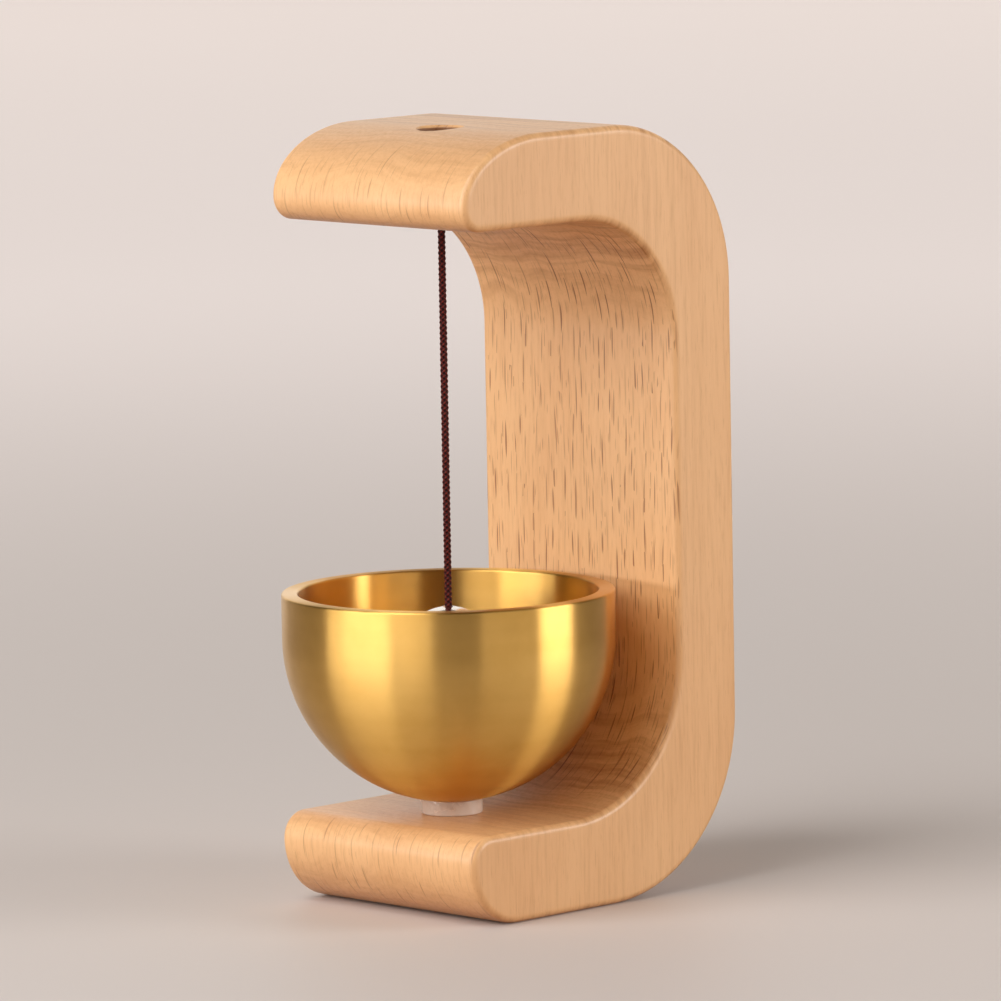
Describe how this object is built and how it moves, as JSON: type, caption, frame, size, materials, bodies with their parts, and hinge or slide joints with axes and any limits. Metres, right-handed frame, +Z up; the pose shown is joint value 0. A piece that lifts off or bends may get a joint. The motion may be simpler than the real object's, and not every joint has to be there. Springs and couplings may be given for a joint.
{
  "type": "desk bell",
  "caption": "Desk bell: a brass bowl bell on the lower arm of a C-shaped beech frame, with a ball clapper that hangs on a cord from the upper arm.",
  "frame": {"origin": "on the frame's flat underside, where the bell's axis meets the surface that it stands on", "axes": "+Z up along the bell's axis, +Y towards the frame's flat back, -Y out of its open side, +X across it"},
  "size_m": [0.05, 0.066, 0.1168],
  "materials": {
    "beech": "natural beech under a satin clear lacquer",
    "brass": "satin brass, turned, with fine rings round the axis",
    "clear_plastic": "milky translucent plastic",
    "pad_rubber": "soft black rubber",
    "zinc_steel": "bright zinc plating",
    "braid": "dark red-brown braided cord",
    "polished_steel": "polished steel"
  },
  "bodies": {
    "bell_stand": {"frame": "beech", "bell_bowl": "brass", "bowl_spacer": "clear_plastic", "bowl_pad": "pad_rubber", "screw_washer": "zinc_steel", "bowl_screw": "zinc_steel"},
    "cord_anchor": {"cord_top_knot": "braid", "cord_in_arm": "braid"},
    "clapper": {"clapper_cord": "braid", "clapper_ball": "polished_steel", "clapper_knot": "braid"}
  },
  "joints": [
    {"name": "clapper_turn", "type": "hinge", "parent": "bell_stand", "child": "cord_anchor", "pos_m": [0, 0, 0.10376], "axis": [0, 0, 1], "continuous": true},
    {"name": "clapper_swing", "type": "hinge", "parent": "cord_anchor", "child": "clapper", "pos_m": [0, 0, 0.10376], "axis": [1, 0, 0], "range_deg": [-12.1, 12.1]}
  ]
}
